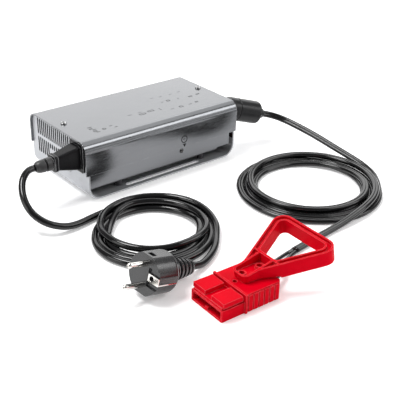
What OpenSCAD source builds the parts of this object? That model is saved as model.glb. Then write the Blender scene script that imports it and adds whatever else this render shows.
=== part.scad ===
// Desktop battery charger: a folded sheet-metal case on a strap-shaped base
// bracket, a detachable mains lead with its plug, and a battery lead that ends
// in a two-pole connector with a pull handle.
// Origin: middle of the case's underside. X runs along the case, with the
// mains end at -X; the front is -Y; Z is up. Millimetres.

/* [Case] */
// Length of the case over the cover
case_l = 195; // [185:1:215]
// Width of the case over the cover
case_w = 110; // [106:1:130]
// Height of the case
case_h = 62; // [60:1:75]
// Thickness of the folded sheet
sheet = 1.5; // [1:0.1:2]
// How far the cover stands past each end plate
cover_overhang = 2.5; // [2:0.5:4]
// Depth of the cover's front and rear flanges
cover_drop = 34; // [30:1:38]
// Outer radius of the cover's long bends
cover_bend = 10.8; // [6:0.2:12]
// Outer radius of the base bracket's two bends
base_bend = 14; // [8:1:16]
// Height of the tray's underside above the floor
tray_z = 10.6; // [9:0.2:13]
// Height of the tray's front and rear walls
tray_wall = 26; // [24:1:30]
// Outer radius of the tray's bends
tray_bend = 3; // [2:0.5:4]
// How far the tray's walls stop short of the right end plate
tray_short = 4.5; // [3:0.1:10]
// How far the tray's floor stops short of the end of its walls
floor_short = 17.5; // [10:0.5:30]
// Gap between sheets that slide past each other
sheet_fit = 0.1; // [0.05:0.05:0.3]

/* [Vents and slots] */
// Width of one vent slot
vent_w = 2; // [1.6:0.1:2.4]
// Spacing of the vent slots
vent_pitch = 4; // [3.5:0.1:4.5]
// Slots in the upper row
upper_vents = 17; // [8:1:17]
// Length of the upper slots
upper_vent_l = 18; // [12:1:20]
// Long slots in the lower row
lower_vents = 6; // [3:1:7]
// Length of the long lower slots
lower_vent_l = 18; // [10:1:18]
// Short slots that end the lower row
short_vents = 5; // [2:1:6]
// Length of the short slots
short_vent_l = 6; // [4:1:8]
// Web between the two rows
vent_web = 3; // [2:0.5:4]
// Length of the long slots in the base
strap_slot_l = 97; // [60:1:100]
// Width of the long slots in the base
strap_slot_w = 5; // [4.6:0.1:6]
// Middle of a base slot from the long edge of the base
strap_slot_in = 7.6; // [6:0.2:9]

/* [Mains inlet and connector] */
// Width of the inlet's flange
inlet_w = 24.5; // [23:0.5:27]
// Height of the inlet's flange
inlet_h = 31; // [29:0.5:33]
// Depth of the inlet's body behind the end plate
inlet_depth = 17; // [16:0.5:20]
// Gap between the inlet's flange and the cover's inner face
inlet_in = 3.9; // [3.8:0.1:6]
// Gap between the inlet's flange and the cover's top
inlet_down = 0.6; // [0.5:0.1:2]
// Width of the socket's cavity
socket_w = 16.6; // [16:0.1:17]
// Height of the socket's cavity
socket_h = 24.4; // [24:0.1:25]
// Gap around the connector in the socket
plug_fit = 0.2; // [0.1:0.05:0.3]
// Length of the connector's body outside the inlet
conn_body_l = 24; // [20:1:28]
// Length of the connector's strain relief
conn_relief_l = 18; // [15:1:20]
// Diameter of the mains lead
mains_d = 6.8; // [6:0.2:7.2]

/* [Mains plug] */
// Diameter of the plug's round front
plug_d = 36.4; // [35.6:0.2:40]
// Length of the plug's body up to its collar
plug_l = 26; // [24:1:28]
// Distance between the plug's two flats
plug_flats = 34; // [33:0.2:35.4]
// Diameter of a plug pin
pin_d = 4.8; // [4.6:0.1:5]
// Length of a plug pin
pin_l = 19; // [18:0.5:19.5]
// Spacing of the plug pins
pin_gap = 19; // [18.5:0.5:19.5]
// Width of the plug's earth strip
earth_w = 6.6; // [6:0.2:9]
// Thickness of the plug's earth strip
earth_t = 0.8; // [0.6:0.1:1]
// Length of the plug's strain relief
plug_relief_l = 21; // [16:1:22]

/* [Battery lead] */
// Diameter of the outlet bush
bush_d = 26.4; // [24:0.2:27]
// Length of the outlet bush outside the end plate
bush_l = 8; // [6:0.5:8.5]
// Diameter of the moulded sleeve on the lead
sleeve_d = 26; // [22:0.2:27]
// Length of the moulded sleeve
sleeve_l = 37.6; // [30:0.2:40]
// Width of the flat two-core lead
lead_w = 7.6; // [7:0.2:8]
// Thickness of the flat two-core lead
lead_t = 5; // [4.6:0.1:5.4]
// Diameter of one core of the lead
core_d = 3.6; // [3:0.1:4]

/* [Battery connector and handle] */
// Width of the connector's mating part
mate_w = 40; // [38:0.5:42]
// Length of the connector's mating part
mate_l = 23; // [20:1:26]
// Height of the connector
conn_h = 16.8; // [16:0.2:18]
// Length of the connector's grip part
grip_l = 38.5; // [34:0.5:42]
// Height of the two raised blocks
block_h = 4.3; // [3.5:0.1:5]
// Width of the groove between the blocks
block_gap = 8.2; // [7:0.2:10]
// Ribs on each side of the grip part
grip_ribs = 6; // [5:1:7]
// Spacing of the two poles
pole_gap = 18; // [17:0.5:19]
// Thickness of the handle
handle_t = 14; // [12:0.5:15]
// Width of the handle at its far end
handle_w = 79; // [70:1:84]
// Length of the handle
handle_l = 80.4; // [76:0.2:88]
// Angle at which the handle rises from the connector
handle_rise = 11.8; // [11:0.2:13]
// Wall of the handle's raised rims
handle_rim = 1.5; // [1.2:0.1:2.2]
// Depth of the channel between the rims
handle_channel = 3; // [1.5:0.1:4]
// Width of the channel between the rims
channel_w = 3.3; // [2.6:0.1:4]
// Width of the handle's tongue
tongue_w = 17.5; // [16:0.5:19]

/* [Screws and board] */
// Diameter of the small screws
screw_d = 3; // [2.5:0.1:3.2]
// Diameter of the small screws' heads
head_d = 6; // [5.5:0.1:6.5]
// Diameter of the spacers under the tray
spacer_d = 7; // [6:0.5:8]
// Length of the circuit board
board_l = 148; // [146:1:152]
// Gap between the circuit board and each long side of the case
board_in = 13; // [11:0.5:15]
// Height of the board's standoffs
standoff_h = 6; // [5:0.5:8]

/* [Hidden] */

steel = "#a7a9ad";
steel_dark = "#7d8085";
black = "#1d1d1f";
red = "#c8102e";
metal = "#c9cbd0";
tiny = 0.01;
eps = 0.5;
smooth = 64;
fine = 32;

// Places in the case that several pieces share
half_l = case_l / 2;
half_w = case_w / 2;
plate_x = half_l - cover_overhang;
inner_x = plate_x - sheet;
cover_in = half_w - sheet;
skirt_z = case_h - cover_drop;
plate_top = case_h - sheet;
upper_half = cover_in - sheet_fit;
tray_half = cover_in - sheet_fit;
tray_floor = tray_z + sheet;
tray_start = -inner_x + base_bend - sheet + sheet_fit
    - sqrt(pow(base_bend - sheet, 2) - pow(max(base_bend - tray_z, 0), 2));
tray_end = inner_x - tray_short;
floor_end = tray_end - floor_short;
rivet_z = tray_floor + 10.4;
tab_l = 14;
tab_w = 22;
tab_bend = 3;
left_screw_x = -plate_x + 9;
right_screw_x = plate_x - 5;
cover_screw_y = 4;
end_screws_y = [-19, 16.5];
spacer_x = [-52, 57];
spacer_y = 12.5;
vent_first_y = half_w - 13;
vent_top_z = plate_top - 2;
lower_top_z = vent_top_z - upper_vent_l - vent_web;
strap_y = half_w - strap_slot_in;
strap_x = 2.5;

// Places of the inlet and the outlet in the end plates
inlet_y = -cover_in + inlet_in + inlet_w / 2;
inlet_z = case_h - sheet - inlet_down - inlet_h / 2;
flange_t = cover_overhang - 0.1;
flange_x = -plate_x - flange_t;
bush_y = -cover_in + 17;
bush_z = case_h - 15.4;
bush_hole = bush_d - 6;

// The plug lies on the floor with its pins turned up
plug_tilt = 15.5;
plug_turn = 3.4;
plug_at = [-149, -221.3];
plug_neck_l = 5;
plug_round = 6;
plug_rear_r = 11.4;
function plug_shape(a) = [
    plug_rear_r + (plug_d / 2 - plug_rear_r) * sin(a), plug_round * (1 - cos(a))];
plug_z = max([for (a = [0:5:90]) (plug_l - plug_shape(a).y) * sin(plug_tilt)
    + min(plug_flats / 2, plug_shape(a).x) * cos(plug_tilt)]) + tiny;

// The battery connector's mouth, and the way it is turned
mouth_at = [-120.6, -267.2, 0];
mouth_turn = -2.5;
collar_l = 3.5;
conn_l = mate_l + collar_l + grip_l - 3.5;
pole_z = conn_h / 2;
handle_from = 31.5;
handle_screws_at = [35.5, 54.5];
handle_rim_z = conn_h + 7.2;
handle_floor_z = conn_h + 4.6;
handle_seat = 1.4;
seam_h = 2.1;

// The moulded sleeve hangs from the bush, nose down
sleeve_from = [plate_x + bush_l + 1, bush_y + 0.6, bush_z + 0.4];
sleeve_yaw = -12;
sleeve_droop = 17;
nose_l = 5;

// Coils on the floor: centre, radii and height of each
mains_coil_at = [-81.4, -146];
mains_coil_in = 37.6;
mains_coil_out = 61.4;
mains_coil_h = 13.4;
battery_coil_at = [100.2, -167.1];
battery_coil_in = 52.2;
battery_coil_out = 75.4;
battery_coil_h = 11;

// Routes of the free leads, along their middles
relief_end_x = flange_x - conn_body_l - conn_relief_l - 3.6;
mains_first_route = [
    [relief_end_x, inlet_y, inlet_z], [-149, inlet_y, inlet_z],
    [-155.5, -41, 43.2], [-161.5, -46, 40], [-166, -52.5, 35.5], [-169, -60, 30.5],
    [-170, -67.5, 25.5], [-169, -75, 20.5], [-165.5, -81.5, 16],
    [-160, -87, 12], [-152, -91, 8.5], [-142, -92.4, 5.5], [-130, -91.5, 4],
    [-118, -89, 3.4], [-107, -87.2, 3.4], [-95, -87, 3.4], [-85, -92, 3.4],
];
mains_last_route = [
    plug_point(-plug_l - plug_neck_l - plug_relief_l),
    plug_point(-plug_l - plug_neck_l - plug_relief_l - 5),
    [-84.5, -216.4, 4.6], [-75, -212.8, 3.6], [-65, -207.6, 3.5],
    [-54.5, -200, 3.5], [-44, -189.4, 3.5],
];
battery_first_route = [
    sleeve_point(sleeve_l + nose_l), sleeve_point(sleeve_l + nose_l + 8),
    [159.5, -52.5, 29.8], [165.5, -64, 27.2], [169, -79, 24.6], [171.6, -96, 21.9],
    [173.6, -112, 19], [175.4, -128, 15.8], [177.2, -145, 12.5],
    [178.6, -160, 9.8], [178.4, -174, 7.4], [175.2, -188, 5.2], [168, -200, 3.6],
    [158, -208.5, 2.8],
];
battery_last_route = [
    [104, -238.5, 8.4], [90, -240, 6.9], [78, -241, 5.2], [67, -241.6, 3.9],
    [54, -242.2, 3], [41, -243, 2.6], [28, -244.2, 2.6], [14, -245.7, 2.6],
    [-1, -247.4, 2.6],
];
core_rear_route = [
    [-1.4, -245.8, 2.6], [-9, -246.7, 2.8], [-20, -249.6, 4], [-32, -253.6, 6],
    [-44, -258, pole_z], conn_point([conn_l + 2, pole_gap / 2, pole_z]),
    conn_point([conn_l - 8, pole_gap / 2, pole_z]),
];
core_front_route = [
    [-1.4, -249.4, 2.6], [-9, -251.4, 2.8], [-19, -256, 3.6], [-30, -263.5, 5.2],
    [-41, -271.5, pole_z], conn_point([conn_l + 2, -pole_gap / 2, pole_z]),
    conn_point([conn_l - 8, -pole_gap / 2, pole_z]),
];

// A point on the plug's axis, at a distance in front of its face
function plug_point(d) = [
    plug_at.x - d * cos(plug_tilt) * cos(plug_turn),
    plug_at.y - d * cos(plug_tilt) * sin(plug_turn),
    plug_z + d * sin(plug_tilt),
];
// A point on the sleeve's axis, at a distance from its start
function sleeve_point(d) = sleeve_from + d * [
    cos(sleeve_droop) * cos(sleeve_yaw), cos(sleeve_droop) * sin(sleeve_yaw),
    -sin(sleeve_droop),
];
// A point given in the battery connector's own frame
function conn_point(p) = mouth_at + [
    p.x * cos(mouth_turn) - p.y * sin(mouth_turn),
    p.x * sin(mouth_turn) + p.y * cos(mouth_turn), p.z,
];

// Sweeps an oval section along a route, wide side level
function unit(v) = v / norm(v);
function heading(route, i) =
    i == 0 ? unit(route[1] - route[0])
    : i == len(route) - 1 ? unit(route[i] - route[i - 1])
    : unit(unit(route[i + 1] - route[i]) + unit(route[i] - route[i - 1]));
function ring_at(route, i, w, t, sides) =
    let (along = heading(route, i), across = unit(cross([0, 0, 1], along)),
         up = cross(along, across))
    [for (k = [0:sides - 1]) let (a = 360 * (k + 0.5) / sides)
        route[i] + across * w / 2 * cos(a) + up * t / 2 * sin(a)];
module swept_tube(route, w, t, sides) {
    last = len(route) - 1;
    points = [for (i = [0:last]) each ring_at(route, i, w, t, sides)];
    walls = [for (i = [0:last - 1]) for (k = [0:sides - 1])
        let (a = i * sides + k, b = i * sides + (k + 1) % sides)
        each [[a, b, b + sides], [a, b + sides, a + sides]]];
    first_cap = [for (k = [sides - 1:-1:0]) k];
    last_cap = [for (k = [0:sides - 1]) last * sides + k];
    polyhedron(points = points,
        faces = [for (f = concat(walls, [first_cap, last_cap]))
            [for (k = [len(f) - 1:-1:0]) f[k]]]);
}

// Outline through corner points, each rounded with its own radius
function corner_arc(a, p, b, r, n) =
    let (u = unit(a - p), v = unit(b - p), half = acos(u * v) / 2,
         reach = r / tan(half), mid = p + unit(u + v) * r / sin(half),
         s = p + u * reach - mid, e = p + v * reach - mid,
         turn = 180 - 2 * half, sgn = (s.x * e.y - s.y * e.x) > 0 ? 1 : -1,
         from = atan2(s.y, s.x))
    [for (k = [0:n]) let (q = from + sgn * turn * k / n)
        mid + r * [cos(q), sin(q)]];
function rounded_outline(corners, n = 6) =
    [for (i = [0:len(corners) - 1])
        let (c = corners[i], a = corners[(i + len(corners) - 1) % len(corners)],
             b = corners[(i + 1) % len(corners)])
        each c[2] > 0
            ? corner_arc([a[0], a[1]], [c[0], c[1]], [b[0], b[1]], c[2], n)
            : [[c[0], c[1]]]];
function round_rect(w, h, r) = rounded_outline([
    [-w / 2, -h / 2, r], [w / 2, -h / 2, r],
    [w / 2, h / 2, r], [-w / 2, h / 2, r]], 5);

// A quarter of a ring of sheet, in the first quadrant
module bend(r, t) {
    intersection() {
        difference() {
            circle(r, $fn = smooth);
            circle(r - t, $fn = smooth);
        }
        square(r + 1);
    }
}
// Sheet folded once round a long bend: a leg up and a web across
module folded_u(half, drop, r, t) {
    for (side = [0, 1]) mirror([side, 0]) {
        translate([half - r, drop - r]) bend(r, t);
        translate([half - t, 0]) square([t, drop - r]);
        square([half - r, drop]);
    }
}
// Section of a U of sheet whose web is at the top
module u_section(half, drop, r, t) {
    for (side = [0, 1]) mirror([side, 0]) {
        translate([half - r, drop - r]) bend(r, t);
        translate([half - t, 0]) square([t, drop - r]);
    }
    translate([-(half - r), drop - t]) square([2 * (half - r), t]);
}
// A vent slot with rounded ends, standing upright
module vent_slot(len) {
    r = vent_w / 2;
    polygon(concat(
        [for (a = [0:60:180]) [r * cos(a), -r + r * sin(a)]],
        [for (a = [180:60:360]) [r * cos(a), r - len + r * sin(a)]]));
}
// Vent field as seen from outside an end plate, first slot at the rear
module vent_field(upper, lower, short) {
    for (i = [0:upper - 1])
        translate([vent_first_y - i * vent_pitch, vent_top_z])
            vent_slot(upper_vent_l);
    for (i = [0:lower - 1])
        translate([vent_first_y - i * vent_pitch, lower_top_z])
            vent_slot(lower_vent_l);
    for (i = [lower:lower + short - 1])
        translate([vent_first_y - i * vent_pitch, lower_top_z])
            vent_slot(short_vent_l);
}

// Flat of an end plate above its bend, drawn in Y and Z
module end_plate_flat() {
    low = base_bend;
    step = skirt_z - 0.6;
    r = cover_bend - sheet;
    translate([-half_w, low]) square([case_w, step - low]);
    polygon(rounded_outline([
        [-upper_half, step, 0], [upper_half, step, 0],
        [upper_half, plate_top, r], [-upper_half, plate_top, r]], 8));
}
module end_plate(upper, lower, short) {
    rotate([90, 0, 90]) linear_extrude(sheet) difference() {
        end_plate_flat();
        vent_field(upper, lower, short);
        children();
    }
}
// Fold that joins an end plate's top edge to its screw tab
module screw_tab(screw_x, hole_x) {
    difference() {
        translate([0, cover_screw_y + tab_w / 2, plate_top]) rotate([90, 0, 0])
            linear_extrude(tab_w) {
                translate([-tab_bend, -tab_bend]) bend(tab_bend, sheet);
                translate([-tab_l, -sheet]) square([tab_l - tab_bend, sheet]);
            }
        translate([hole_x, cover_screw_y, plate_top - 5])
            cylinder(d = screw_d, h = 6, $fn = fine);
    }
}

module base_bracket() color(steel) difference() {
    union() {
        flat_half = plate_x - base_bend;
        translate([-flat_half, -half_w, 0]) cube([2 * flat_half, case_w, sheet]);
        for (side = [0, 1]) mirror([side, 0, 0])
            translate([flat_half, half_w, base_bend]) rotate([90, 90, 0])
                linear_extrude(case_w) bend(base_bend, sheet);
        difference() {
            translate([-plate_x, 0, 0])
                end_plate(upper_vents, lower_vents, short_vents) {
                    translate([inlet_y, inlet_z])
                        square([inlet_w - 3, inlet_h - 3.6], center = true);
                    for (y = end_screws_y) translate([y, rivet_z])
                        circle(d = screw_d + 0.4, $fn = fine);
                }
            tab_cut(-plate_x - 1);
        }
        difference() {
            translate([inner_x, 0, 0])
                end_plate(upper_vents - 7, lower_vents, 0)
                    translate([bush_y, bush_z])
                        circle(d = bush_hole + 0.2, $fn = smooth);
            tab_cut(plate_x - tab_bend);
        }
        mirror([1, 0, 0]) translate([plate_x, 0, 0])
            screw_tab(left_screw_x, -(left_screw_x + plate_x));
        translate([plate_x, 0, 0])
            screw_tab(right_screw_x, right_screw_x - plate_x);
    }
    for (side = [-1, 1]) translate([strap_x, side * strap_y, -1])
        linear_extrude(sheet + 2) strap_slot();
    for (x = spacer_x, side = [-1, 1])
        translate([x, side * (half_w - spacer_y), -1])
            cylinder(d = screw_d, h = sheet + 2, $fn = fine);
}
// Room in an end plate for the fold of its screw tab
module tab_cut(x) {
    translate([x, cover_screw_y - tab_w / 2, plate_top - tab_bend])
        cube([tab_bend + 1, tab_w, tab_bend + 1]);
}
// Outline of a base slot with round ends
module strap_slot() {
    polygon(rounded_outline([
        [-strap_slot_l / 2, -strap_slot_w / 2, strap_slot_w / 2 - tiny],
        [strap_slot_l / 2, -strap_slot_w / 2, strap_slot_w / 2 - tiny],
        [strap_slot_l / 2, strap_slot_w / 2, strap_slot_w / 2 - tiny],
        [-strap_slot_l / 2, strap_slot_w / 2, strap_slot_w / 2 - tiny]], 5));
}

module chassis_tray() color(steel_dark) difference() {
    union() {
        // Walls with their bends and the floor between them
        intersection() {
            translate([tray_start, 0, tray_z + tray_wall]) rotate([90, 0, 90])
                mirror([0, 1, 0]) linear_extrude(tray_end - tray_start)
                    u_section(tray_half, tray_wall, tray_bend, sheet);
            union() {
                translate([-inner_x, -half_w, tray_z - 1])
                    cube([floor_end + inner_x, case_w, tray_wall + 2]);
                translate([-inner_x, -half_w, tray_z + tray_bend + 0.5])
                    cube([tray_end + inner_x, case_w, tray_wall]);
            }
        }
        // Two tabs turned up behind the left end plate
        for (y = end_screws_y) {
            translate([-inner_x, y - 5, base_bend])
                cube([sheet, 10, rivet_z - base_bend + 5]);
            translate([tray_start, y - 5, tray_z])
                cube([sheet, 10, base_bend - tray_z + 1]);
        }
    }
    for (y = end_screws_y) translate([-inner_x - 1, y, rivet_z])
        rotate([0, 90, 0]) cylinder(d = screw_d, h = sheet + 2, $fn = fine);
    for (x = spacer_x, side = [-1, 1])
        translate([x, side * (half_w - spacer_y), tray_z - 1])
            cylinder(d = screw_d, h = sheet + 2, $fn = fine);
    for (p = board_holes) translate([p.x, p.y, tray_z - 1])
        cylinder(d = screw_d, h = sheet + 2, $fn = fine);
    translate([light_x, -half_w - 1, light_z]) rotate([-90, 0, 0])
        cylinder(d = light_d + 0.2, h = 6, $fn = fine);
}

module top_cover() color(steel) difference() {
    translate([-half_l, 0, skirt_z]) rotate([90, 0, 90])
        linear_extrude(case_l) u_section(half_w, cover_drop, cover_bend, sheet);
    for (x = [left_screw_x, right_screw_x])
        translate([x, cover_screw_y, case_h - 3])
            cylinder(d = screw_d + 0.4, h = 4, $fn = fine);
}

// Pan-head screw with its head's underside at z = 0, shank downward
module pan_screw(len, head) {
    rotate_extrude($fn = fine) polygon([
        [0, -len], [screw_d / 2 - 0.4, -len], [screw_d / 2, -len + 0.8],
        [screw_d / 2, 0], [head / 2, 0], [head / 2, 0.9],
        [head / 2 * 0.85, 1.7], [head / 2 * 0.45, 2.2], [0, 2.3]]);
}
// Cross recess for a pan-head screw
module cross_recess() {
    for (a = [0, 90]) rotate([0, 0, a]) translate([-1.5, -0.35, 1.3])
        cube([3, 0.7, 2]);
}
module crossed_screw(len, head = head_d) {
    difference() {
        pan_screw(len, head);
        cross_recess();
    }
}
module cover_screws() color(metal)
    for (x = [left_screw_x, right_screw_x])
        translate([x, cover_screw_y, case_h]) crossed_screw(5);
module end_screws() color(metal)
    for (y = end_screws_y) translate([-plate_x, y, rivet_z])
        rotate([0, -90, 0]) crossed_screw(6);
module tray_screws() color(metal)
    for (x = spacer_x, side = [-1, 1])
        translate([x, side * (half_w - spacer_y), tray_floor])
            crossed_screw(tray_floor - 0.2);
module tray_spacers() color(steel_dark)
    for (x = spacer_x, side = [-1, 1])
        translate([x, side * (half_w - spacer_y), sheet]) difference() {
            cylinder(d = spacer_d, h = tray_z - sheet, $fn = fine);
            translate([0, 0, -1])
                cylinder(d = screw_d, h = tray_z, $fn = fine);
        }

// Section of the three-blade socket, with its two clipped corners
module socket_outline(w, h) {
    clip = 3.4;
    polygon([
        [-w / 2 + clip, -h / 2], [w / 2, -h / 2], [w / 2, h / 2],
        [-w / 2 + clip, h / 2], [-w / 2, h / 2 - clip], [-w / 2, -h / 2 + clip]]);
}
module inlet_frame() translate([flange_x, inlet_y, inlet_z])
    rotate([90, 0, 90]) children();
blade_at = [[2, 7], [2, -7], [-2, 0]];
blade_w = 4;
blade_t = 2;
cavity_l = flange_t + inlet_depth - 3;
module inlet_socket() color(black) inlet_frame() difference() {
    union() {
        linear_extrude(flange_t)
            polygon(round_rect(inlet_w, inlet_h, 3));
        translate([0, 0, flange_t - tiny]) linear_extrude(inlet_depth + tiny)
            square([inlet_w - 3.2, inlet_h - 3.8], center = true);
    }
    translate([0, 0, -1]) linear_extrude(cavity_l + 1)
        socket_outline(socket_w, socket_h);
    for (p = blade_at) translate([p.x, p.y, 0])
        linear_extrude(40) square([blade_t, blade_w], center = true);
}
module inlet_blades() color(metal) inlet_frame()
    for (p = blade_at) translate([p.x, p.y, 3])
        linear_extrude(flange_t + inlet_depth + 4 - 3)
            square([blade_t, blade_w], center = true);

// Ring-ribbed strain relief along +Z, starting at z = 0
module ribbed_relief(len, d_from, d_to, ribs) {
    pitch = len / ribs;
    rib = pitch * 0.72;
    rotate_extrude($fn = fine) polygon(concat([[0, 0]],
        [for (i = [0:ribs - 1])
            let (d = d_from + (d_to - d_from) * i / (ribs - 1), z = i * pitch)
            each [[d / 2, z], [d / 2 - 0.3, z + rib],
                  [d / 2 - 1.5, z + rib], [d / 2 - 1.5, z + pitch]]],
        [[0, len]]));
}
module mains_connector() color(black) {
    front_w = socket_w - 2 * plug_fit;
    front_h = socket_h - 2 * plug_fit;
    inlet_frame() difference() {
        union() {
            linear_extrude(cavity_l - plug_fit)
                socket_outline(front_w, front_h);
            // Body that narrows to its shoulder
            hull() {
                translate([0, 0, -1.5]) linear_extrude(1.5)
                    polygon(round_rect(front_w + 0.6, front_h + 0.4, 2));
                translate([0, 0, -conn_body_l]) linear_extrude(1)
                    polygon(round_rect(12.5, 14.5, 2));
            }
            translate([0, 0, -conn_body_l - 3.6]) linear_extrude(3.7)
                polygon(round_rect(14.5, 16.5, 3));
            translate([0, 0, -conn_body_l - 3.6]) rotate([180, 0, 0])
                ribbed_relief(conn_relief_l, 11.5, 9.5, 3);
        }
        for (p = blade_at) translate([p.x, p.y, 2.5])
            linear_extrude(cavity_l) square([blade_t + 0.6, blade_w + 0.8], center = true);
    }
}

// Coil of lead: a ring of the coil's outer shape, lying on the floor
module coil_ring(at, r_in, r_out, h) {
    c = 4;
    translate([at.x, at.y, 0]) rotate_extrude($fn = smooth) polygon([
        [r_in + c, 0], [r_out - c, 0], [r_out, c], [r_out, h - c],
        [r_out - c, h], [r_in + c, h], [r_in, h - c], [r_in, c]]);
}
module mains_coil() color(black)
    coil_ring(mains_coil_at, mains_coil_in, mains_coil_out, mains_coil_h);
module battery_coil() color(black)
    coil_ring(battery_coil_at, battery_coil_in, battery_coil_out, battery_coil_h);
module mains_lead_first() color(black) difference() {
    swept_tube(mains_first_route, mains_d, mains_d, 10);
    coil_ring(mains_coil_at, 1, mains_coil_out, mains_coil_h);
}
module mains_lead_last() color(black) difference() {
    swept_tube(mains_last_route, mains_d, mains_d, 10);
    coil_ring(mains_coil_at, 1, mains_coil_out, mains_coil_h);
}
module battery_lead_first() color(black) difference() {
    swept_tube(battery_first_route, lead_w, lead_t, 10);
    coil_ring(battery_coil_at, 1, battery_coil_out, battery_coil_h);
}
module battery_lead_last() color(black) difference() {
    swept_tube(battery_last_route, lead_w, lead_t, 10);
    coil_ring(battery_coil_at, 1, battery_coil_out, battery_coil_h);
}
module core_rear() color(black) swept_tube(core_rear_route, core_d, core_d, 8);
module core_front() color(black) swept_tube(core_front_route, core_d, core_d, 8);

// The plug's own frame: +Z out of its face, X along its two pins
module plug_frame() translate([plug_at.x, plug_at.y, plug_z])
    rotate([0, 0, plug_turn]) rotate([0, plug_tilt - 90, 0]) children();
// Earth strip: a leg on each side, joined inside the moulding
module earth_strip() {
    r = plug_d / 2;
    side = r - earth_t;
    deep = 7;
    translate([-earth_w / 2, -r, -plug_l + 5]) cube([earth_w, earth_t, plug_l - 5]);
    translate([-earth_w / 2, -r, -earth_t]) cube([earth_w, r - 5.6, earth_t]);
    translate([-earth_w / 2, -5.6 - earth_t, -deep]) cube([earth_w, earth_t, deep]);
    translate([-earth_w / 2, -5.6 - earth_t, -deep])
        cube([earth_w, 5.6 + r, earth_t]);
    translate([-earth_w / 2, side, -plug_l + 5])
        cube([earth_w, earth_t, plug_l - 8]);
}
module plug_earth_strip() color(metal) plug_frame() difference() {
    earth_strip();
    translate([0, -10, -20]) cylinder(d = 5, h = 30, $fn = fine);
}
module plug_pins() color(metal) plug_frame()
    for (side = [-1, 1]) translate([side * pin_gap / 2, 0, 0])
        rotate_extrude($fn = fine) polygon([
            [0, -10], [2, -10], [2, 0], [pin_d / 2, 0], [pin_d / 2, pin_l - 2],
            [pin_d / 2 - 0.5, pin_l - 0.7], [pin_d / 2 - 1.2, pin_l],
            [0.8, pin_l], [0.8, pin_l - 1.5], [0, pin_l - 1.5]]);
module plug_body() color(black) plug_frame() difference() {
    r = plug_d / 2;
    union() {
        intersection() {
            translate([0, 0, -plug_l]) rotate_extrude($fn = smooth) polygon(concat(
                [[0, 0]],
                [for (a = [0:15:90]) plug_shape(a)],
                [[r, plug_l], [0, plug_l]]));
            translate([-plug_flats / 2, -r, -plug_l - 1])
                cube([plug_flats, 2 * r, plug_l + 2]);
        }
        // Ring and ribbed relief behind the body
        translate([0, 0, -plug_l - plug_neck_l]) rotate_extrude($fn = smooth)
            polygon([[0, 0], [7.6, 0], [9.6, 0.6], [11.8, 1.2], [11.8, 3.8],
                [10.4, 4.4], [10.4, plug_neck_l + tiny], [0, plug_neck_l + tiny]]);
        translate([0, 0, -plug_l - plug_neck_l]) rotate([180, 0, 0])
            ribbed_relief(plug_relief_l, 15.2, 11, 4);
    }
    earth_strip();
    translate([0, -10, -16]) cylinder(d = 5, h = 20, $fn = fine);
    // Sunk part of the face on the side of the earth hole
    translate([-8.2, -r - 1, -1.8]) cube([16.4, r - 4, 3]);
    for (side = [-1, 1]) {
        translate([side * pin_gap / 2, 0, -10])
            cylinder(d = 4, h = 12, $fn = fine);
        translate([side * (plug_flats / 2 - 0.2), 0, -5])
            cube([4.4, 7, 4.4], center = true);
    }
}

// Bush clipped in the right end plate
module outlet_bush() color(black) translate([plate_x, bush_y, bush_z])
    rotate([0, 90, 0]) rotate_extrude($fn = smooth) polygon([
        [7, -sheet - 3], [bush_hole / 2 - 0.6, -sheet - 3],
        [bush_hole / 2, -sheet - 1.5], [bush_hole / 2, 0], [bush_d / 2, 0],
        [bush_d / 2, bush_l], [7, bush_l]]);
// Moulded sleeve that turns down from the bush, with the neck that sits in it
module outlet_sleeve() color(black) {
    r = sleeve_d / 2;
    translate([plate_x, bush_y, bush_z]) rotate([0, 90, 0])
        cylinder(r = 7, h = bush_l + 4, $fn = fine);
    intersection() {
        translate(sleeve_from) {
            sphere(r = r - 0.08, $fn = smooth);
            rotate([0, 0, sleeve_yaw]) rotate([0, 90 + sleeve_droop, 0])
                rotate_extrude($fn = smooth) polygon([
                    [0, 0], [r, 0], [r, 7.4], [r - 0.7, 7.7], [r - 0.7, 8.5], [r, 8.8],
                    [r, sleeve_l - 3.2], [r - 0.4, sleeve_l - 1.6], [r - 1.4, sleeve_l - 0.5],
                    [r - 3, sleeve_l], [6.6, sleeve_l], [6, sleeve_l + 2],
                    [4.8, sleeve_l + nose_l], [0, sleeve_l + nose_l]]);
        }
        translate([plate_x + bush_l, bush_y - 40, bush_z - 50]) cube([80, 80, 80]);
    }
}

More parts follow.
